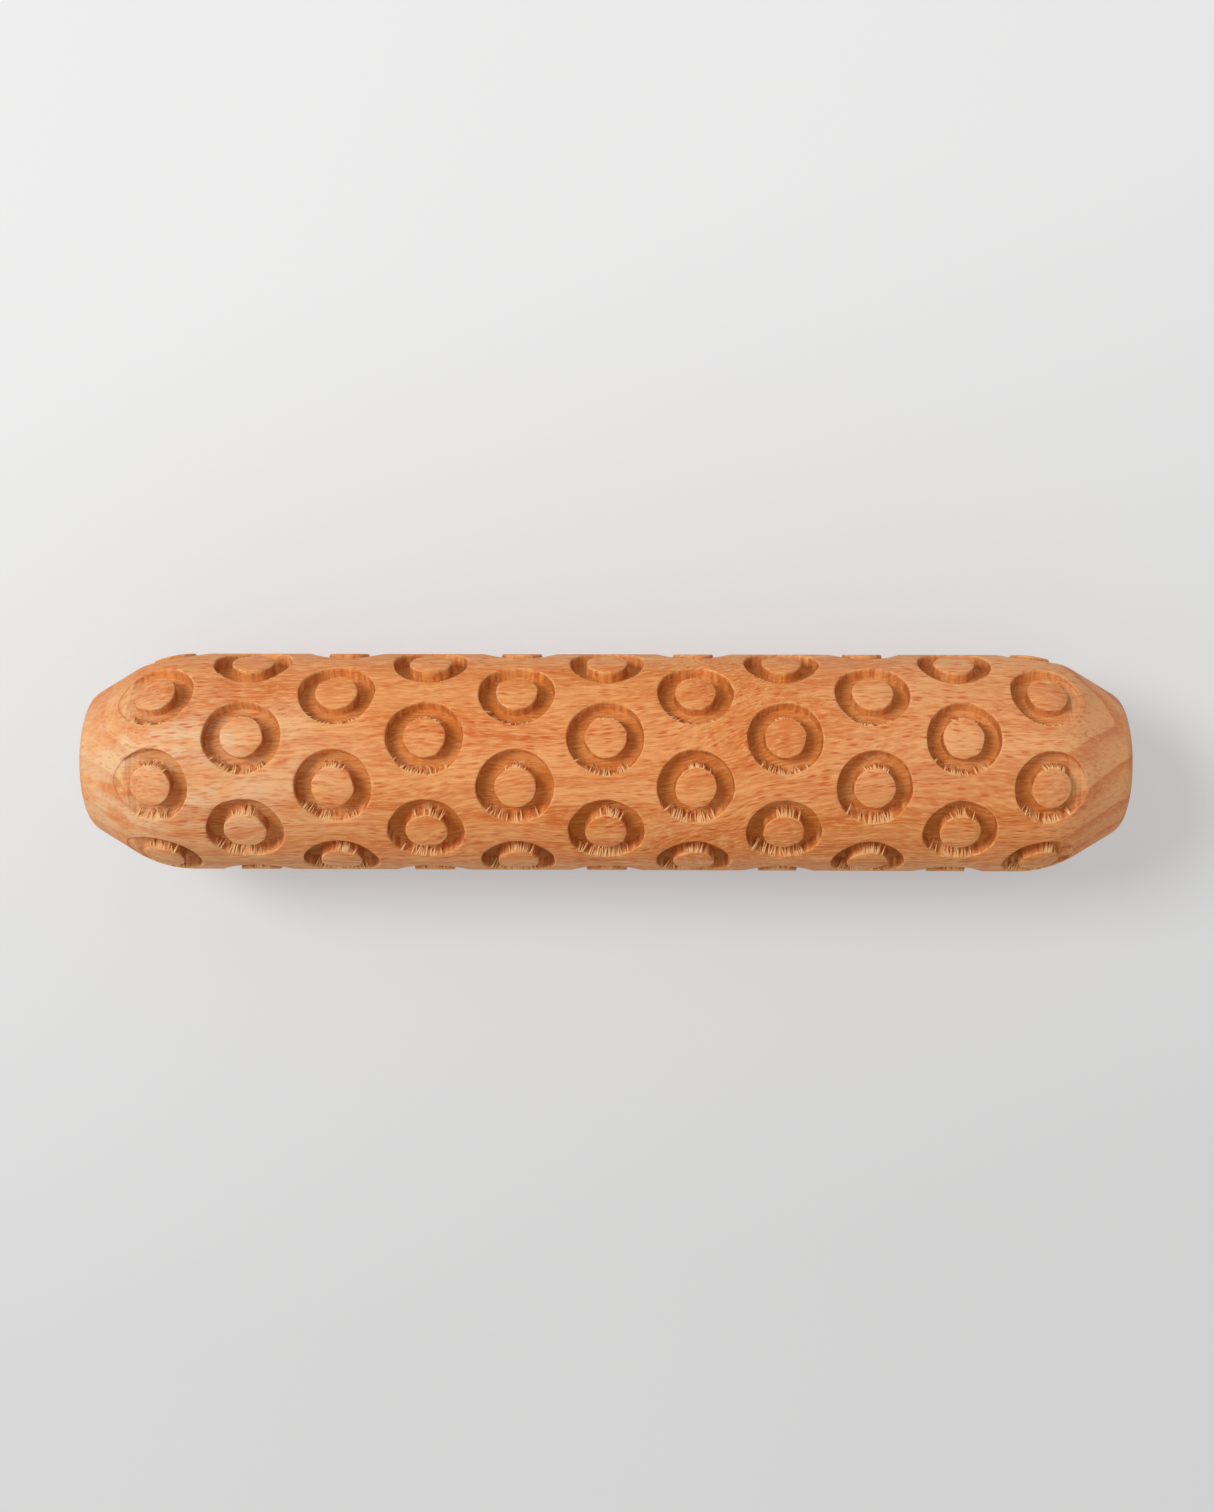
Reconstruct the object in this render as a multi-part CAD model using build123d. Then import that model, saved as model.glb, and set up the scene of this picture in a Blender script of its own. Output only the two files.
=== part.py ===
"""A clay texture roller: one turned beech rod, carved all round with staggered rings.

The rod lies along X with its middle at the origin and +Z up. Each ring is an annular
groove round a stud that is left standing, so it presses a raised ring into soft clay.
All sizes are in millimetres and all angles in degrees.
"""

from build123d import *
from math import cos, pi, sin, tan
import os

# The turned rod. Its tapers are measured to the corners that the shoulders and bevels then take off.
length = 128.0
barrel_diameter = 27.0
taper_length = 9.0
end_diameter = 16.2
end_bevel = 1.4

# The carved rings, measured round and along the barrel.
ring_diameter = 9.15
stud_diameter = 4.9
groove_depth = 1.6
column_pitch = 10.65
rings_around = 7
lead_angle = -15.5

# A ring and its stud are cut with straight sides, enough of them to look round.
ring_sides = 16
stud_sides = 12

# How far a cutter runs past the surface that it cuts.
overrun = 1.0

barrel_radius = barrel_diameter / 2
end_radius = end_diameter / 2
floor_radius = barrel_radius - groove_depth
half_length = length / 2
full_turn = 360
quarter_turn = 90
angle_pitch = full_turn / rings_around

# Ring centres stay on the barrel, so the last column at each end runs out over the taper.
last_column = int((half_length - taper_length) / column_pitch)


def turned_rod():
    """The blank as it leaves the lathe: barrel, ball shoulders, straight tapers and bevelled ends."""
    shoulder_x = half_length - taper_length
    outline = Polyline(
        (-half_length, 0),
        (-half_length, end_radius),
        (-shoulder_x, barrel_radius),
        (shoulder_x, barrel_radius),
        (half_length, end_radius),
        (half_length, 0),
        close=True,
    )
    section = make_face(outline)
    rims = section.vertices().group_by(Axis.Y)[1]
    section = chamfer(rims, end_bevel)
    shoulders = section.vertices().group_by(Axis.Y)[-1]
    section = fillet(shoulders, barrel_radius)
    return revolve(section, Axis.X)


def carving_wedge(width, sides, low, high):
    """A many-sided wedge over the top of the rod, from the height low to high.

    Its ends across the rod stand upright, and its other walls all point at the rod's axis,
    which is how a mill leaves them when the rod turns under it.
    """

    def outline(height):
        reach = width / 2
        spread = height * tan(reach / barrel_radius)
        turns = [2 * pi * (side + 1 / 2) / sides for side in range(sides)]
        corners = [(reach * cos(turn), spread * sin(turn)) for turn in turns]
        return Plane.XY.offset(height) * make_face(Polyline(*corners, close=True))

    return loft([outline(low), outline(high)], ruled=True)


def ring_cutter():
    """What one ring takes away: a groove of even depth, with the stud left in its middle."""
    groove = carving_wedge(ring_diameter, ring_sides, floor_radius - overrun, barrel_radius + overrun)
    stud = carving_wedge(stud_diameter, stud_sides, floor_radius / 2, barrel_diameter)
    core = Rot(Y=quarter_turn) * Cylinder(floor_radius, length)
    return groove - stud - core


def ring_places():
    """Where each ring is centred, every second column turned by half a pitch against its neighbours."""
    for column in range(-last_column, last_column + 1):
        stagger = angle_pitch / 2 if column % 2 else 0
        for ring in range(rings_around):
            angle = lead_angle + stagger + ring * angle_pitch
            yield Pos(X=column * column_pitch) * Rot(X=angle)


def carved_roller():
    """The whole roller, one piece of wood."""
    cutter = ring_cutter()
    return turned_rod() - [place * cutter for place in ring_places()]


os.makedirs("parts", exist_ok=True)
roller = carved_roller()
export_step(roller, "parts/carved_roller.step")
print("carved_roller", "volume", round(roller.volume), "faces", len(roller.faces()))
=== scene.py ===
import random
from collections import namedtuple
from math import atan2, copysign, cos, hypot, pi, radians, sin, sqrt, tan

import bmesh
import bpy
from mathutils import Matrix, Quaternion, Vector, noise


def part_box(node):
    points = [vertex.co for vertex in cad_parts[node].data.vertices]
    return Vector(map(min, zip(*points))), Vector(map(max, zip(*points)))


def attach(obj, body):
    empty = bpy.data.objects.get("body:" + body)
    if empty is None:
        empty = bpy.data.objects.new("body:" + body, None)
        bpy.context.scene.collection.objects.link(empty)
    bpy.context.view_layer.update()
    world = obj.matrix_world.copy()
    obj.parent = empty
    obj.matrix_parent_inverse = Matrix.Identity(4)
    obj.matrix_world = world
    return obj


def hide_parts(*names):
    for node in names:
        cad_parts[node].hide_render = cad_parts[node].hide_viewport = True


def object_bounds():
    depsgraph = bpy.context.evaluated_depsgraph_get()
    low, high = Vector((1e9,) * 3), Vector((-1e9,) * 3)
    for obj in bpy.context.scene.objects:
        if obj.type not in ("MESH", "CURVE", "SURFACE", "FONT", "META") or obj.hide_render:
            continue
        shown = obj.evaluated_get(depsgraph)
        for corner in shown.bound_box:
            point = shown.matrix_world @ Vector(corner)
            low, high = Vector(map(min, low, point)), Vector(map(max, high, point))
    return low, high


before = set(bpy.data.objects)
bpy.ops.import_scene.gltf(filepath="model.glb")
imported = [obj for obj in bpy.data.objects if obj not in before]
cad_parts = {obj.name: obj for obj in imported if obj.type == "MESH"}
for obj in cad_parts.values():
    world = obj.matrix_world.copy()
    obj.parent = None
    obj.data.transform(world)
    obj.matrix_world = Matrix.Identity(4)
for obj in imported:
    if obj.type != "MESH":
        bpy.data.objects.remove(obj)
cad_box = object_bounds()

# The roller is modelled in millimetres. Its length and thickness are the frame's.
MM = 0.001
low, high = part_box("carved_roller")
half_length = (high.x - low.x) / 2 / MM
barrel_radius = (high.z - low.z) / 2 / MM

# The turned rod: a barrel, ball shoulders, straight tapers and rounded end corners.
taper_length = 9.0
end_radius = 8.1
end_round = 2.4
taper_slope = (barrel_radius - end_radius) / taper_length
taper_turn = atan2(barrel_radius - end_radius, taper_length)
shoulder_reach = barrel_radius * tan(taper_turn / 2)
shoulder_x = half_length - taper_length - shoulder_reach
taper_x = half_length - taper_length + shoulder_reach * cos(taper_turn)

# The carving: rings in columns, every second column turned by half a pitch. The first row is
# turned this far from the top of the roller towards its far side.
rings_around = 7
columns_each_way = 5
column_pitch = 10.65
row_pitch = 2 * pi * barrel_radius / rings_around
first_row_turn = radians(15.5)
ring_radius = 4.575
stud_radius = 2.45
groove_depth = 1.6
floor_radius = barrel_radius - groove_depth

# The mill did not quite keep its pitch. The carving is furthest right of it at the drift's middle,
# and a millimetre further left than that at the drift's reach from there.
drift_most = 0.3
drift_middle = 8.0
drift_reach = 60.0

# Corners round each ring, shared out so that neighbouring cells meet corner to corner.
corners_along = 14
corners_around = 18
ring_corners = 2 * (corners_along + corners_around)

# Loops of the groove from its outer lip to the middle of the stud: (radius, share of the depth).
lip = 0.12
GROOVE_LOOPS = [
    (ring_radius + 0.05, 0.015),
    (ring_radius, 0.06),
    (ring_radius - 0.04, 0.28),
    (ring_radius - 0.08, 0.65),
    (ring_radius - 0.14, 0.92),
    (ring_radius - 0.30, 1.0),
    ((ring_radius + stud_radius) / 2, 1.0),
    (stud_radius + 0.28, 1.0),
    (stud_radius + 0.12, 0.92),
    (stud_radius + 0.06, 0.55),
    (stud_radius + 0.03, 0.20),
    (stud_radius - 0.02, 0.03),
    (stud_radius - 0.12, 0.0),
    (stud_radius / 2, 0.0),
]
# Loops of the land, from the lip out to the edge of the ring's cell.
LAND_STEPS = [0.22, 0.58, 1.0]

# Loops of plain wood past the carving, which start this far beyond the last column's cells: down
# the taper, round the end corner, and over the end face at shares of its radius.
plain_start = 0.6
taper_loops = 4
end_round_loops = 7
END_FACE_LOOPS = (0.95, 0.6, 0.25, 0)

# Corners nearer than this are joined: within a ring's tile, between tiles, and at the rod's ends.
tile_join = 0.001
rod_join = 0.002
end_join = 0.0005

# How far from true circles the cut outlines wander, in slow and in finer waves, and how much the
# depth does. More waves are closer together.
outer_wander = 0.16
stud_wander = 0.14
outer_waves = 1.6
stud_waves = 1.8
fine_waves = 5
fine_wander = 0.25
depth_wander = 0.05

# Each ring reads the noise in places of its own, this far from those of the ring before it. The
# stud's waves and the fine waves are read apart from the outer wall's.
wander_step = 7.3
tear_step = 3.1
waves_apart = Vector((31, 0, 0))

# Where the tapers fall away under the cutter it still marks the surface this deep.
graze = 0.12

# A wall's outline wanders and tears within this distance of it. The painted light on the face of
# each wall has its middle this far into the groove, and fades out over this half width.
wall_zone = 0.7
outer_face_inset = 0.12
stud_face_inset = 0.1
face_half_width = 0.3

# Torn grain slopes in from the near side of each outer wall and out from the far side of each stud.
tear_lean = 0.14
outer_tear = 0.62
stud_tear = 0.55
outer_tear_focus = 3
stud_tear_focus = 5
tear_mean = 0.75
tear_swing = 0.9
tear_waves = 6

# How fast the marks for the paint rise: with the depth left in the rod, below the lip, with the
# tearing, and as (rise, drop) towards the middle of a scribed line.
depth_rise = 1.25
lip_rise = 8
torn_rise = 1.4
OUTER_SCRIBE = (3, 2)
STUD_SCRIBE = (2, 1.4)
CARVING_MARKS = ("cut", "beside_stud_shade", "torn", "scribed", "painted_wall_light")

# Splinters at a wall: its radius and which way its groove lies, their number, the direction that
# they face with its spread and its limit in degrees, their (least, most) reach over the groove, how
# far in they are rooted, and how steeply they dip.
Splinters = namedtuple("Splinters", "wall way number facing spread limit reach rooted dip")
STUD_SPLINTERS = Splinters(
    wall=stud_radius, way=1, number=12, facing=82, spread=18, limit=34,
    reach=(0.35, 0.85), rooted=0.05, dip=1.6,
)
OUTER_SPLINTERS = Splinters(
    wall=ring_radius, way=-1, number=18, facing=262, spread=24, limit=44,
    reach=(0.5, 1.1), rooted=0.06, dip=1.35,
)
splinter_seed = 11
SPLINTER_WEAR = (0.7, 1.1)
SPLINTER_SUNK = (0.03, 0.12)
SPLINTER_WIDTH = (0.14, 0.32)
splinter_twist = 0.04
splinter_tip = 0.32
splinter_clearance = 0.1
shallowest_groove = 0.5


def land_radius(x):
    """The rod's radius before it is carved."""
    reach = abs(x)
    if reach < shoulder_x:
        return barrel_radius
    if reach < taper_x:
        return sqrt(barrel_radius**2 - (reach - shoulder_x) ** 2)
    return end_radius + (half_length - reach) * taper_slope


def drift(x):
    """How far along the roller the carving sits from its even pitch."""
    return drift_most - ((x - drift_middle) / drift_reach) ** 2


def rolled_up(x, around, cut):
    """The place on the roller of a place on the flat pattern, cut being its share of the groove's depth."""
    x += drift(x)
    land = land_radius(x)
    radius = land - max(cut, 0) * max(land - floor_radius, graze)
    turn = around / barrel_radius
    return Vector((x, radius * sin(turn), radius * cos(turn)))


def next_loop(mesh, rim, place):
    """Extrudes a loop of edges and puts each new corner where place says."""
    grown = bmesh.ops.extrude_edge_only(mesh, edges=rim)["geom"]
    for corner in grown:
        if isinstance(corner, bmesh.types.BMVert):
            corner.co = place(corner)
    return [edge for edge in grown if isinstance(edge, bmesh.types.BMEdge) and edge.is_boundary]


def cell_edge(spoke):
    """Where a spoke of the ring meets the edge of its cell, the spokes spaced evenly along each side."""
    turn = abs(spoke)
    half_along = corners_along // 2
    along = min(turn, half_along, ring_corners // 2 - turn)
    around = min(max(turn - half_along, 0), corners_around)
    x = copysign(along * column_pitch / corners_along, spoke)
    return Vector((x, row_pitch / 2 - around * row_pitch / corners_around, 0))


def ring_tile():
    """One ring and its cell of land, flat, with each corner's height as minus its share of the depth."""
    tile = bmesh.new()
    spokes = tile.verts.layers.int.new("spoke")
    corners = bmesh.ops.create_circle(tile, segments=ring_corners, radius=ring_radius + lip)["verts"]
    for corner in corners:
        corner[spokes] = round(atan2(corner.co.x, corner.co.y) * ring_corners / (2 * pi))

    def on_ring(corner, radius, cut=0.0):
        turn = 2 * pi * corner[spokes] / ring_corners
        return Vector((radius * sin(turn), radius * cos(turn), -cut))

    def on_land(corner, step):
        return on_ring(corner, ring_radius + lip).lerp(cell_edge(corner[spokes]), step)

    outer = inner = tile.edges[:]
    for radius, cut in GROOVE_LOOPS:
        inner = next_loop(tile, inner, lambda corner: on_ring(corner, radius, cut))
    next_loop(tile, inner, lambda corner: Vector())
    for step in LAND_STEPS:
        outer = next_loop(tile, outer, lambda corner: on_land(corner, step))
    bmesh.ops.remove_doubles(tile, verts=tile.verts, dist=tile_join)
    return tile


def ring_centres():
    """(x, distance round the barrel) of each ring."""
    for column in range(-columns_each_way, columns_each_way + 1):
        stagger = row_pitch / 2 if column % 2 else 0
        for ring in range(rings_around):
            yield column * column_pitch, first_row_turn * barrel_radius - stagger - ring * row_pitch


def near_wall(radius):
    """(1 at the outer wall fading to 0 on the land and floor, the same for the stud's wall)."""
    outer = max(1 - abs(radius - ring_radius) / wall_zone, 0)
    stud = max(1 - abs(radius - stud_radius) / wall_zone, 0)
    return outer, stud


def wall_share(radius):
    """1 on the middle of the outer wall and of the stud's wall, fading to 0 over the lip and the floor."""
    outer = 1 - abs(radius - ring_radius + outer_face_inset) / face_half_width
    stud = 1 - abs(radius - stud_radius - stud_face_inset) / face_half_width
    return max(outer, stud, 0)


def tearing(turn, seed):
    """How much the grain tears in this direction, (at the outer wall, at the stud)."""
    place = Vector((cos(turn) * tear_waves, sin(turn) * tear_waves, seed * tear_step))
    ragged = tear_mean + tear_swing * noise.noise(place)
    side = sin(turn + tear_lean)
    return max(-side, 0) ** outer_tear_focus * ragged, max(side, 0) ** stud_tear_focus * ragged


def wandering(place, turn, seed):
    """The place of a corner once the cut's outline wanders and tears away from the true circle."""
    outer, stud = near_wall(hypot(place.x, place.y))
    outer_torn, stud_torn = tearing(turn, seed)
    outward = Vector((cos(turn), sin(turn), 0))
    on_circle = outward + Vector((0, 0, seed * wander_step))
    swing = outer_wander * outer * noise.noise(on_circle * outer_waves)
    swing += stud_wander * stud * noise.noise(on_circle * stud_waves + waves_apart)
    fine = noise.noise(on_circle * fine_waves + waves_apart)
    swing += fine_wander * (outer_wander * outer + stud_wander * stud) * fine
    swing -= outer_tear * outer * outer_torn * -place.z
    swing += stud_tear * stud * stud_torn * -place.z
    return place + outward * swing


def carving_marks(place, turn, seed, depth_share):
    """What the paint reads at a corner of the flat pattern, in the order of CARVING_MARKS."""
    cut = -place.z
    radius = hypot(place.x, place.y)
    outer, stud = near_wall(radius)
    outer_torn, stud_torn = tearing(turn, seed)
    below_lip = min(cut * lip_rise, 1)
    torn = min((outer * outer_torn + stud * stud_torn) * below_lip * torn_rise, 1) * depth_share
    scribed = max(outer * OUTER_SCRIBE[0] - OUTER_SCRIBE[1], stud * STUD_SCRIBE[0] - STUD_SCRIBE[1], 0)
    # Painted light marks the middle of the walls at the top and bottom of each ring, where the grain has
    # not torn.
    painted_wall_light = wall_share(radius) * sin(turn) ** 2 * (1 - torn) * depth_share
    # The cosine's square marks the floor's sides left and right of the stud, for painted shade there.
    return cut * depth_share, cos(turn) ** 2, torn, scribed * (1 - depth_share) * below_lip, painted_wall_light


def end_profile():
    """(x, radius) of each loop from the last column's edge to the middle of the end."""
    edge = (columns_each_way + 0.5) * column_pitch + plain_start
    corner_turn = pi / 2 - taper_turn
    tangent = end_round * tan(corner_turn / 2)
    round_x = half_length - tangent * cos(taper_turn)
    points = []
    for step in range(1, taper_loops + 1):
        x = edge + (round_x - edge) * step / taper_loops
        points.append((x, land_radius(x)))
    centre_x, centre_radius = half_length - end_round, end_radius - tangent
    for step in range(1, end_round_loops + 1):
        turn = taper_turn + corner_turn * step / end_round_loops
        points.append((centre_x + end_round * sin(turn), centre_radius + end_round * cos(turn)))
    return points + [(half_length, centre_radius * share) for share in END_FACE_LOOPS]


def plain_loop(mesh, rim, x, radius):
    """Extrudes the rod's rim to a true circle, each corner keeping its direction from the axis."""

    def on_circle(corner):
        return Vector((0, corner.co.y, corner.co.z)).normalized() * radius + Vector((x, 0, 0))

    return next_loop(mesh, rim, on_circle)


def smooth(mesh):
    """Shades a mesh's faces as one smooth surface."""
    for face in mesh.faces:
        face.smooth = True


def placed(name, data):
    """A new object in the scene, at the origin."""
    made = bpy.data.objects.new(name, data)
    bpy.context.scene.collection.objects.link(made)
    return made


def object_from(mesh, name, material):
    """A finished piece in metres, riding on the roller's one body."""
    bmesh.ops.scale(mesh, vec=(MM, MM, MM), verts=mesh.verts)
    data = bpy.data.meshes.new(name)
    mesh.to_mesh(data)
    mesh.free()
    data.materials.append(material)
    piece = placed(name, data)
    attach(piece, "root")
    return piece


def carve(rod):
    """Lays the pattern flat ring by ring, marks it for the paint and rolls it up."""
    layers = [rod.verts.layers.float.new(name) for name in CARVING_MARKS]
    tile = ring_tile()
    flat = bpy.data.meshes.new("flat_ring")
    tile.to_mesh(flat)
    tile.free()
    for seed, (x, around) in enumerate(ring_centres()):
        before = len(rod.verts)
        rod.from_mesh(flat)
        rod.verts.ensure_lookup_table()
        for corner in rod.verts[before:]:
            cut = -corner.co.z
            turn = atan2(corner.co.y, corner.co.x)
            place = wandering(corner.co, turn, seed)
            deeper = cut + depth_wander * cut * noise.noise(Vector((x, around, turn)))
            along = x + corner.co.x
            sunk = (land_radius(along + drift(along)) - floor_radius) / groove_depth
            depth_share = min(max(sunk, 0) * depth_rise, 1)
            for layer, mark in zip(layers, carving_marks(corner.co, turn, seed, depth_share)):
                corner[layer] = mark
            corner.co = rolled_up(x + place.x, around + place.y, deeper)
    bpy.data.meshes.remove(flat)
    bmesh.ops.remove_doubles(rod, verts=rod.verts, dist=rod_join)


def carved_roller(material):
    """The whole roller: the carved barrel closed at both ends by plain tapers and end faces."""
    rod = bmesh.new()
    end_layer = rod.verts.layers.float.new("end_grain")
    carve(rod)
    rims = [edge for edge in rod.edges if edge.is_boundary]
    for side in (-1, 1):
        rim = [edge for edge in rims if edge.verts[0].co.x * side > 0]
        for x, radius in end_profile():
            rim = plain_loop(rod, rim, side * x, radius)
    bmesh.ops.remove_doubles(rod, verts=rod.verts, dist=end_join)
    bmesh.ops.recalc_face_normals(rod, faces=rod.faces)
    rod.normal_update()
    for corner in rod.verts:
        corner[end_layer] = abs(corner.normal.x) ** 2
    smooth(rod)
    piece = object_from(rod, "carved_beech_roller", material)
    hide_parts("carved_roller")


def splinter(mesh, root, tip, width):
    """One torn fibre bundle, a blunt four-sided spike on the flat pattern from root to tip."""
    along = tip - root
    turn = along.to_track_quat("Z", "Y").to_matrix().to_4x4()
    place = Matrix.Translation(root + along / 2) @ turn
    made = bmesh.ops.create_cone(
        mesh,
        cap_ends=True,
        segments=4,
        radius1=width / 2,
        radius2=width * splinter_tip,
        depth=along.length,
        matrix=place,
    )
    return made["verts"]


def torn_grain(material):
    """Pale fibres left standing where the cutter ran out against the grain."""
    chance = random.Random(splinter_seed)
    fibres = bmesh.new()
    for x, around in ring_centres():
        wear = chance.uniform(*SPLINTER_WEAR)
        for count in range(int((OUTER_SPLINTERS.number + STUD_SPLINTERS.number) * wear)):
            kind = STUD_SPLINTERS if count < STUD_SPLINTERS.number * wear else OUTER_SPLINTERS
            turn = radians(kind.facing + min(max(chance.gauss(0, kind.spread), -kind.limit), kind.limit))
            reach = chance.uniform(*kind.reach)
            start = kind.wall - kind.way * kind.rooted
            end = kind.wall + kind.way * reach
            turned = turn + chance.gauss(0, splinter_twist)
            sunk = chance.uniform(*SPLINTER_SUNK)
            lowest = min(sunk + kind.dip * reach, groove_depth - splinter_clearance)
            root = Vector((start * cos(turn), start * sin(turn), -sunk))
            tip = Vector((end * cos(turned), end * sin(turned), -lowest))
            width = chance.uniform(*SPLINTER_WIDTH)
            if land_radius(x + root.x + drift(x)) < floor_radius + shallowest_groove:
                continue
            for corner in splinter(fibres, root, tip, width):
                local = corner.co
                corner.co = rolled_up(x + local.x, around + local.y, max(-local.z, 0) / groove_depth)
    smooth(fibres)
    object_from(fibres, "torn_grain", material)


class Nodes:
    """Adds nodes to a material's tree and joins them up."""

    def __init__(self, name):
        self.material = bpy.data.materials.new(name)
        self.material.use_nodes = True
        self.tree = self.material.node_tree
        self.shader = self.tree.nodes["Principled BSDF"]

    def add(self, kind, inputs=(), **settings):
        """A new node with its settings, and its inputs fed by name or number."""
        made = self.tree.nodes.new(kind)
        for name, value in settings.items():
            setattr(made, name, value)
        for socket, value in dict(inputs).items():
            self.feed(made.inputs[socket], value)
        return made

    def feed(self, socket, value):
        """Joins a socket to another node's output, or sets its value."""
        if isinstance(value, bpy.types.NodeSocket):
            self.tree.links.new(value, socket)
        else:
            socket.default_value = value

    def shade(self, inputs):
        """Feeds the shader, and gives the finished material."""
        for name, value in inputs.items():
            self.feed(self.shader.inputs[name], value)
        return self.material

    def math(self, operation, first, second=0.0):
        """A number worked out from one or two others."""
        return self.add("ShaderNodeMath", {0: first, 1: second}, operation=operation).outputs[0]

    def plus(self, first, *others):
        """The sum of several numbers."""
        for other in others:
            first = self.math("ADD", first, other)
        return first

    def times(self, first, *others):
        """The product of several numbers."""
        for other in others:
            first = self.math("MULTIPLY", first, other)
        return first

    def vector(self, operation, first, second):
        """A vector worked out from two others."""
        return self.add("ShaderNodeVectorMath", {0: first, 1: second}, operation=operation).outputs[0]

    def parts(self, vector):
        """The X, Y and Z of a vector."""
        made = self.add("ShaderNodeSeparateXYZ", {"Vector": vector})
        return made.outputs["X"], made.outputs["Y"], made.outputs["Z"]

    def fade(self, value, start, end, low=0.0, high=1.0):
        """A smooth step from low at start to high at end."""
        inputs = {"Value": value, "From Min": start, "From Max": end, "To Min": low, "To Max": high}
        return self.add("ShaderNodeMapRange", inputs, interpolation_type="SMOOTHSTEP").outputs[0]

    def mix(self, share, first, second):
        """The first colour with this share of the second."""
        inputs = {"Factor": share, 6: first, 7: second}
        return self.add("ShaderNodeMix", inputs, data_type="RGBA").outputs[2]

    def stain(self, wood, tint, *shares):
        """The wood with a tint laid over it, by the product of the shares."""
        return self.mix(self.times(*shares), wood, tint)

    def stretched(self, vector, scale, turn=(0, 0, 0), shift=(0, 0, 0)):
        """Places scaled, turned and shifted for a pattern."""
        inputs = {"Vector": vector, "Rotation": turn, "Scale": scale, "Location": shift}
        return self.add("ShaderNodeMapping", inputs).outputs[0]

    def noise(self, vector, detail=2.0, rough=0.5):
        """A soft random pattern, from 0 to 1."""
        inputs = {"Vector": vector, "Scale": 1.0, "Detail": detail, "Roughness": rough}
        return self.add("ShaderNodeTexNoise", inputs).outputs[0]

    def cells(self, vector):
        """(distance to the nearest cell's middle, that cell's first own number, its second)."""
        made = self.add("ShaderNodeTexVoronoi", {"Vector": vector, "Scale": 1.0})
        own = self.add("ShaderNodeSeparateColor", {"Color": made.outputs["Color"]})
        return made.outputs["Distance"], own.outputs[0], own.outputs[1]

    def attribute(self, name):
        """One of the mesh's own marks."""
        return self.add("ShaderNodeAttribute", attribute_name=name).outputs["Fac"]

    def millimetres(self):
        """The place on the piece, in millimetres."""
        place = self.add("ShaderNodeTexCoord").outputs["Object"]
        return self.add("ShaderNodeVectorMath", {0: place, 3: 1 / MM}, operation="SCALE").outputs[0]


def colour(red, green, blue):
    """A colour from its screen values out of 255."""
    return tuple((((v / 255) + 0.055) / 1.055) ** 2.4 for v in (red, green, blue)) + (1.0,)


def grey(value):
    """A plain grey of this brightness."""
    return value, value, value, 1


# The tones of the wood, of its cuts and of their torn edges, and the colours of its painted shade, light
# and sheen.
PALE_BEECH = colour(243, 176, 113)
HONEY_BEECH = colour(234, 194, 148)
SALMON_BEECH = colour(217, 124, 55)
RED_BEECH = colour(198, 86, 28)
PALE_TAN_BEECH = colour(240, 172, 116)
PAINTED_SHADE_AMBER = colour(203, 121, 44)
PAINTED_SHEEN_STRAW = colour(205, 166, 112)
FLECK = colour(198, 82, 28)
CUT_FLOOR_AND_SHADE = colour(184, 106, 30)
CUT_WALL = colour(166, 84, 30)
TORN_AND_LIP_HIGHLIGHT = colour(240, 195, 134)
NEAR_ROW_SHADE = colour(104, 56, 14)
WALL_HIGHLIGHT = colour(248, 164, 86)

# How closely each pattern in the wood repeats, as (along the rod, across it, up), to the millimetre.
MOTTLE = (0.16, 0.3, 0.3)
WAVER = (0.035, 0.09, 0.09)
BROAD_BAND = (0.03, 0.2, 0.2)
STREAK = (0.13, 1.9, 1.9)
FIBRE = (0.6, 5.0, 5.0)
RAY_FLECK = (0.5, 2.2, 2.2)
RAY_DASH = (0.36, 1.7, 1.7)
RAY_PATCH = (0.05, 0.16, 0.16)
SCUFF = (0.5, 1.9, 1.9)
CUTTER_STROKE = (2.1, 0.3, 0.3)
HIGHLIGHT_BREAKUP = (0.9, 0.9, 0.9)
TORN_TONE = (1.3, 1.3, 1.3)

# The grain runs at a small slant to the rod and wavers across and up by up to half of this.
GRAIN_SLANT = (0, radians(0.8), radians(-2.2))
GRAIN_WAVER = (0, 7.0, 4.0)
# The tree's pith lay this far to the near side and below, and its growth rings are this wide.
pith_near = 34.0
pith_below = 30.0
year_width = 3.4
year_start = 0.04

# How rough and how glossy the wood is, and how much rougher along its fibres and in its cuts.
wood_rough = 0.52
fibre_rough = 0.14
cut_rough = 0.2
wood_gloss = 0.22
splinter_rough = 0.85
splinter_gloss = 0.2

# Its fine relief: how strong and how deep, and the shares of the fibres, flecks and cutter strokes.
relief = 0.5
relief_depth = 0.1
fibre_relief = 0.6
fleck_relief = 0.25
stroke_relief = 2.2


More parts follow.
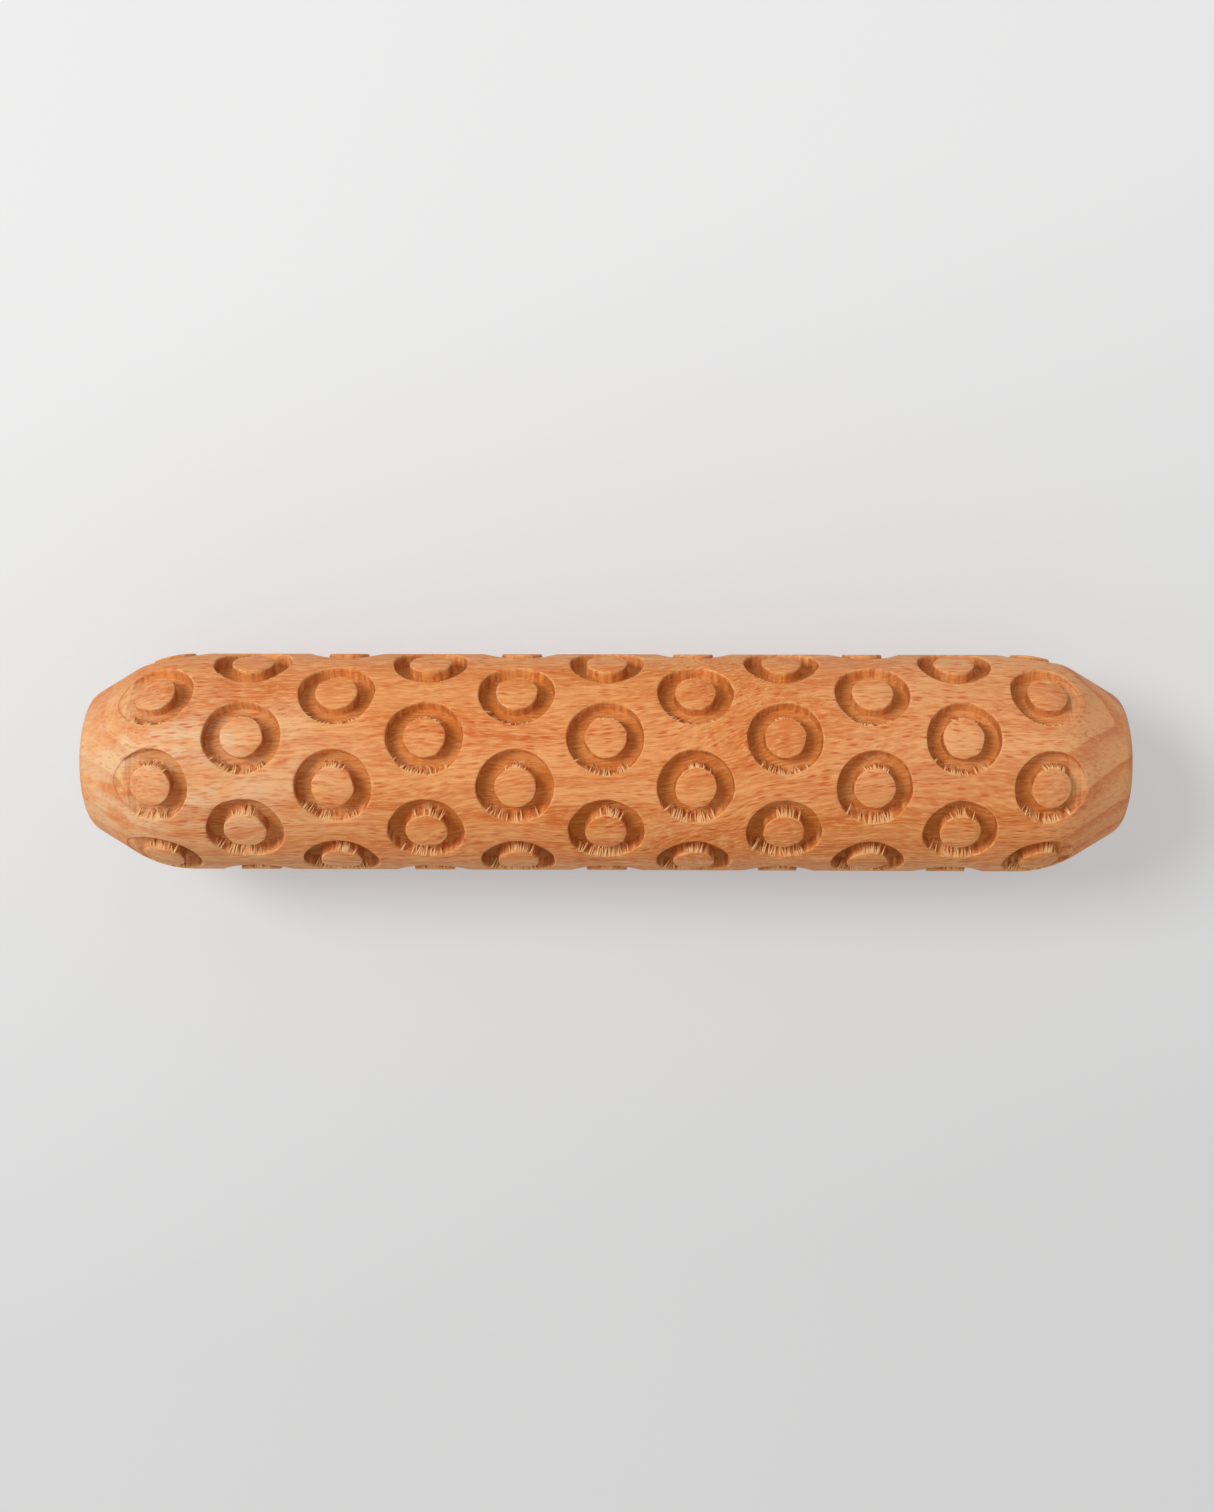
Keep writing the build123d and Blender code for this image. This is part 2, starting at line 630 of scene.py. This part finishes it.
def tone_shift(nodes, place, from_pith, wood):
    """The rod's drift of tone: honey at its left end, and past a growth ring at its right end a pale tan,
    partly its own tone and partly painted light on that shaded end. Painted shade darkens its near and far
    sides, and a painted sheen pales its edges.
    """
    x, y, _ = nodes.parts(place)
    mottled = nodes.fade(nodes.noise(nodes.stretched(place, MOTTLE), detail=3.0), 0.62, 0.45, 0.35, 1.0)
    far_side = nodes.fade(y, 11.0, 4.0, 0.3, 1.0)
    near_side = nodes.fade(y, -11.0, -5.0, 0.5, 1.0)
    wood = nodes.stain(wood, HONEY_BEECH, nodes.fade(x, -20.0, -54.0), mottled, far_side, near_side)
    # Past a growth ring at the right end, a pale tan: partly the wood's own tone, partly painted light
    # lifting the end that faces away from the lamp.
    inside_ring = nodes.fade(from_pith, 54.5, 53.9)
    wood = nodes.stain(wood, PALE_TAN_BEECH, inside_ring, nodes.fade(x, 51.0, 58.0, 0, 0.75))
    # Painted shade: a darker amber on the barrel's far side, and more of it on its near side below.
    wood = nodes.stain(wood, PAINTED_SHADE_AMBER, nodes.fade(y, 4.0, 11.0, 0, 0.3))
    wood = nodes.stain(wood, HONEY_BEECH, nodes.fade(x, 12.0, 36.0, 0, 0.2), nodes.fade(y, -8.0, 0.0))
    painted_near_shade = nodes.fade(y, -3.0, -12.0, 0, 0.6)
    wood = nodes.stain(wood, PAINTED_SHADE_AMBER, painted_near_shade, nodes.fade(x, -20.0, 40.0, 0.5, 1.0))
    # Painted sheen: a paler straw tone along the barrel's far and near edges, where it turns away from the
    # eye.
    far_edge_sheen = nodes.fade(y, 11.0, 12.6, 0, 0.3)
    near_edge_sheen = nodes.fade(y, -10.6, -12.2, 0, 0.42)
    return nodes.stain(wood, PAINTED_SHEEN_STRAW, nodes.plus(far_edge_sheen, near_edge_sheen))


def grain_run(nodes, place, along):
    """Where the figure is read: it slants, wavers, and bends to the far side in the right half."""
    grain = nodes.stretched(place, (1, 1, 1), turn=GRAIN_SLANT)
    waver = nodes.math("SUBTRACT", nodes.noise(nodes.stretched(grain, WAVER)), 0.5)
    figure = nodes.vector("ADD", grain, nodes.vector("MULTIPLY", waver, GRAIN_WAVER))
    bend = nodes.add("ShaderNodeCombineXYZ", {"Y": nodes.fade(along, 0.0, 27.0, 0, -5.0)}).outputs[0]
    return nodes.vector("ADD", figure, bend)


def growth_rings(nodes, figure):
    """(distance from the pith, how much of the wood there is late wood)."""
    _, y, z = nodes.parts(figure)
    across, up = nodes.plus(y, pith_near), nodes.plus(z, pith_below)
    from_pith = nodes.math("SQRT", nodes.plus(nodes.times(across, across), nodes.times(up, up)))
    year = nodes.math("FRACT", nodes.plus(nodes.math("DIVIDE", from_pith, year_width), year_start))
    return from_pith, nodes.times(nodes.fade(year, 0.35, 0.95), nodes.fade(year, 1.0, 0.94))


def ray_flecks(nodes, figure, reach, wood):
    """Dark ray flecks in patches, and thin dashes mostly between them. Returns (colour, fleck)."""
    off_ends = nodes.fade(reach, 58.0, 52.0, 0.15, 1.0)
    patch = nodes.noise(nodes.stretched(figure, RAY_PATCH, shift=(7, 3, 5)), detail=1.0)
    distance, tone, _ = nodes.cells(nodes.stretched(figure, RAY_FLECK, turn=(0, 0, radians(-1.5))))
    shown = nodes.times(nodes.fade(patch, 0.36, 0.54), nodes.fade(tone, 0.3, 0.6), off_ends)
    fleck = nodes.times(nodes.fade(distance, 0.46, 0.12), shown)
    wood = nodes.stain(wood, FLECK, fleck, 0.8)
    dashes = nodes.stretched(figure, RAY_DASH, turn=(0, 0, radians(-3)), shift=(3, 9, 2))
    distance, _, tone = nodes.cells(dashes)
    dash = nodes.times(nodes.fade(distance, 0.40, 0.10), nodes.fade(tone, 0.5, 0.7), off_ends)
    return nodes.stain(wood, FLECK, dash, nodes.fade(patch, 0.56, 0.40, 0.3, 1.0), 0.5), fleck


def beech_colour(nodes, place):
    """Oiled beech, its figure running along the rod, with the painted shade, light and sheen of its sides
    and ends. Returns (colour, fibre, fleck).
    """
    along, _, _ = nodes.parts(place)
    reach = nodes.math("ABSOLUTE", along)
    figure = grain_run(nodes, place, along)
    from_pith, late_wood = growth_rings(nodes, figure)
    broad = nodes.noise(nodes.stretched(figure, BROAD_BAND), detail=3.0, rough=0.55)
    streak = nodes.noise(nodes.stretched(figure, STREAK), detail=4.0, rough=0.6)
    fibre = nodes.noise(nodes.stretched(figure, FIBRE), detail=3.0, rough=0.55)

    wood = nodes.mix(nodes.fade(broad, 0.42, 0.58, 0.4, 0.86), PALE_BEECH, SALMON_BEECH)
    wood = tone_shift(nodes, place, from_pith, wood)
    at_ends = nodes.fade(reach, 53.0, 58.0, 0.32, 0.26)
    at_right_end = nodes.fade(along, 53.0, 58.0, 0, 0.29)
    wood = nodes.stain(wood, RED_BEECH, late_wood, nodes.plus(at_ends, at_right_end))
    wood = nodes.stain(wood, RED_BEECH, nodes.fade(streak, 0.5, 0.66, 0, 0.3))
    wood = nodes.stain(wood, PALE_BEECH, nodes.fade(streak, 0.48, 0.34, 0, 0.42))
    plainer_ends = nodes.fade(reach, 54.0, 59.0, 1.0, 0.45)
    wood = nodes.stain(wood, RED_BEECH, plainer_ends, nodes.fade(fibre, 0.5, 0.68, 0, 0.45))
    wood = nodes.stain(wood, PALE_BEECH, plainer_ends, nodes.fade(fibre, 0.48, 0.33, 0, 0.6))
    wood, fleck = ray_flecks(nodes, figure, reach, wood)

    scuffed = nodes.times(nodes.fade(reach, 54.8, 56.2), nodes.fade(reach, 59.5, 57.8))
    scuffs = nodes.noise(nodes.stretched(place, SCUFF))
    more_right = nodes.fade(along, -20.0, 20.0, 0.3, 0.4)
    wood = nodes.stain(wood, CUT_WALL, scuffed, more_right, nodes.fade(scuffs, 0.54, 0.68))
    return wood, fibre, fleck


def carved_beech():
    """The roller's finish: oiled beech, rougher in its cuts and darker there, partly by its fibres and end
    grain and partly by painted shade, with painted light on some walls and lips, and pale where their edges
    tore.
    """
    nodes = Nodes("carved_beech")
    place = nodes.millimetres()
    wood, fibre, fleck = beech_colour(nodes, place)

    cut, torn, beside_stud_shade, end_grain, painted_wall_light, scribed = (
        nodes.attribute(name) for name in ("cut", "torn", "beside_stud_shade", "end_grain", "painted_wall_light", "scribed")
    )
    _, y, _ = nodes.parts(place)
    # The floors: the cut floor's fibre stripes, darkened partly as painted shade, with more painted shade
    # left and right of each stud, where its walls would shade them.
    on_floor = nodes.fade(cut, 0.5, 0.95)
    stripes_and_shade = nodes.plus(nodes.fade(fibre, 0.38, 0.66, 0.22, 0.52), nodes.times(beside_stud_shade, 0.34))
    wood = nodes.stain(wood, CUT_FLOOR_AND_SHADE, on_floor, stripes_and_shade)
    # Painted shade: a deep brown in the floors beside the studs of the near row.
    wood = nodes.stain(wood, NEAR_ROW_SHADE, on_floor, beside_stud_shade, nodes.fade(y, -9.2, -11.0, 0, 0.45))

    on_wall = nodes.times(nodes.fade(cut, 0.03, 0.25), nodes.fade(cut, 0.99, 0.8))
    strokes = nodes.noise(nodes.stretched(place, CUTTER_STROKE), rough=0.6)
    # Dark gaps between the cutter strokes on the walls; between the torn fibres they are painted shade.
    stroke_gaps_and_shade = nodes.plus(nodes.times(on_wall, 0.28), nodes.times(torn, 0.5))
    wood = nodes.stain(wood, CUT_WALL, on_wall, nodes.plus(0.1, nodes.times(end_grain, 0.7)))
    wood = nodes.stain(wood, CUT_WALL, stroke_gaps_and_shade, nodes.fade(strokes, 0.5, 0.36))
    wood = nodes.stain(wood, PALE_BEECH, on_wall, nodes.fade(strokes, 0.52, 0.68, 0, 0.5))
    wood = nodes.stain(wood, TORN_AND_LIP_HIGHLIGHT, torn, nodes.fade(strokes, 0.5, 0.6, 0, 0.8))
    # Painted light on the walls at the top and bottom of each ring.
    wood = nodes.stain(wood, WALL_HIGHLIGHT, painted_wall_light, nodes.fade(strokes, 0.36, 0.62, 0.15, 0.75))
    wood = nodes.stain(wood, CUT_WALL, scribed, 0.5)

    # Painted highlight along each outer lip, broken up by noise.
    on_lip = nodes.times(nodes.fade(cut, 0.0, 0.015), nodes.fade(cut, 0.12, 0.04))
    highlight_breakup = nodes.noise(nodes.stretched(place, HIGHLIGHT_BREAKUP), detail=3.0, rough=0.7)
    wood = nodes.stain(wood, TORN_AND_LIP_HIGHLIGHT, on_lip, nodes.fade(highlight_breakup, 0.45, 0.65, 0, 0.6))
    wood = nodes.stain(wood, CUT_FLOOR_AND_SHADE, end_grain, nodes.fade(cut, 0.05, 0.0), 0.45)

    in_cut = nodes.fade(cut, 0.2, 0.9)
    rough = nodes.plus(wood_rough, nodes.times(fibre, fibre_rough), nodes.times(in_cut, cut_rough))
    height = nodes.math("SUBTRACT", nodes.times(fibre, fibre_relief), nodes.times(fleck, fleck_relief))
    ridges = nodes.times(nodes.math("MAXIMUM", on_wall, torn), stroke_relief)
    height = nodes.plus(height, nodes.times(strokes, ridges))
    inputs = {"Height": height, "Strength": relief, "Distance": relief_depth * MM}
    bump = nodes.add("ShaderNodeBump", inputs).outputs[0]
    return nodes.shade(
        {"Base Color": wood, "Roughness": rough, "Specular IOR Level": wood_gloss, "Normal": bump}
    )


def torn_beech():
    """The splinters' finish, pale and dry."""
    nodes = Nodes("torn_beech")
    tone = nodes.noise(nodes.stretched(nodes.millimetres(), TORN_TONE))
    wood = nodes.mix(nodes.fade(tone, 0.3, 0.6), PALE_TAN_BEECH, TORN_AND_LIP_HIGHLIGHT)
    return nodes.shade(
        {"Base Color": wood, "Roughness": splinter_rough, "Specular IOR Level": splinter_gloss}
    )


# The floor: how far it spreads each way in metres, its brightness to the light that bounces off it
# and to the eye, and its glow to the eye, with a painted falloff of light across it of this much to
# the millimetre, within this limit.
floor_size = 3.0
floor_bounce = 0.8
floor_tone = 0.44
floor_glow = 0.328
PAINTED_FALLOFF = (-0.0002, 0.0010, 0)
glow_limit = 0.07

# The lamp stands here, in metres, and points at the roller. The room is evenly pale.
LAMP_PLACE = Vector((-0.56, 0.24, 0.66))
lamp_size = 0.38
lamp_power = 4.7
room_light = 0.55

# The photograph's camera stands over the roller, a little right of its middle and behind it.
CAMERA_PLACE = Vector((3.1, 11.6, 229.5))
CAMERA_AIM = Vector((-0.0124, -0.0472, -1.0))
camera_roll = 0.002
lens_length = 43.65
sensor_width = 36.0
nearest_seen = 0.01


def pale_floor():
    """The floor's finish, with a pale glow where the eye sees it, straight or in a reflection, and a
    painted falloff of light across that glow.
    """
    nodes = Nodes("pale_floor")
    rays = nodes.add("ShaderNodeLightPath").outputs
    seen = nodes.math("MAXIMUM", rays["Is Camera Ray"], rays["Is Glossy Ray"])
    seen = nodes.math("MAXIMUM", seen, rays["Is Transmission Ray"])
    # A painted falloff of light across the floor's glow, darker towards the lower right.
    inputs = {0: nodes.millimetres(), 1: PAINTED_FALLOFF}
    painted_falloff = nodes.add("ShaderNodeVectorMath", inputs, operation="DOT_PRODUCT").outputs["Value"]
    painted_falloff = nodes.math("MINIMUM", nodes.math("MAXIMUM", painted_falloff, -glow_limit), glow_limit)
    return nodes.shade(
        {
            "Base Color": nodes.mix(seen, grey(floor_bounce), grey(floor_tone)),
            "Emission Color": grey(1),
            "Emission Strength": nodes.times(seen, nodes.plus(floor_glow, painted_falloff)),
            "Roughness": 1.0,
            "Specular IOR Level": 0.0,
        }
    )


def studio():
    """A pale floor under the roller, a soft lamp from the upper left and pale light all round."""
    ground = bmesh.new()
    bmesh.ops.create_grid(ground, x_segments=1, y_segments=1, size=floor_size)
    bmesh.ops.translate(ground, vec=(0, 0, cad_box[0].z), verts=ground.verts)
    data = bpy.data.meshes.new("floor")
    ground.to_mesh(data)
    ground.free()
    data.materials.append(pale_floor())
    floor = placed("floor", data)

    lamp = bpy.data.lights.new("soft_lamp", "AREA")
    lamp.shape = "DISK"
    lamp.size = lamp_size
    lamp.energy = lamp_power
    source = placed("soft_lamp", lamp)
    source.location = LAMP_PLACE
    source.rotation_euler = (-LAMP_PLACE).to_track_quat("-Z", "Y").to_euler()

    world = bpy.data.worlds.new("pale_room")
    bpy.context.scene.world = world
    world.use_nodes = True
    sky = world.node_tree.nodes["Background"]
    sky.inputs["Color"].default_value = grey(1)
    sky.inputs["Strength"].default_value = room_light


def photograph_camera():
    """The camera at the photograph's place, with +X to the right."""
    lens = bpy.data.cameras.new("camera")
    lens.sensor_width = sensor_width
    lens.lens = lens_length
    lens.clip_start = nearest_seen
    camera = placed("camera", lens)
    camera.location = CAMERA_PLACE * MM
    camera.rotation_mode = "QUATERNION"
    back = -CAMERA_AIM.normalized()
    right = Vector((0, 1, 0)).cross(back).normalized()
    axes = Matrix((right, back.cross(right), back)).transposed()
    camera.rotation_quaternion = axes.to_quaternion() @ Quaternion((0, 0, 1), camera_roll)
    bpy.context.scene.camera = camera


bpy.context.scene.view_settings.view_transform = "Standard"
carved_roller(carved_beech())
torn_grain(torn_beech())
studio()
photograph_camera()
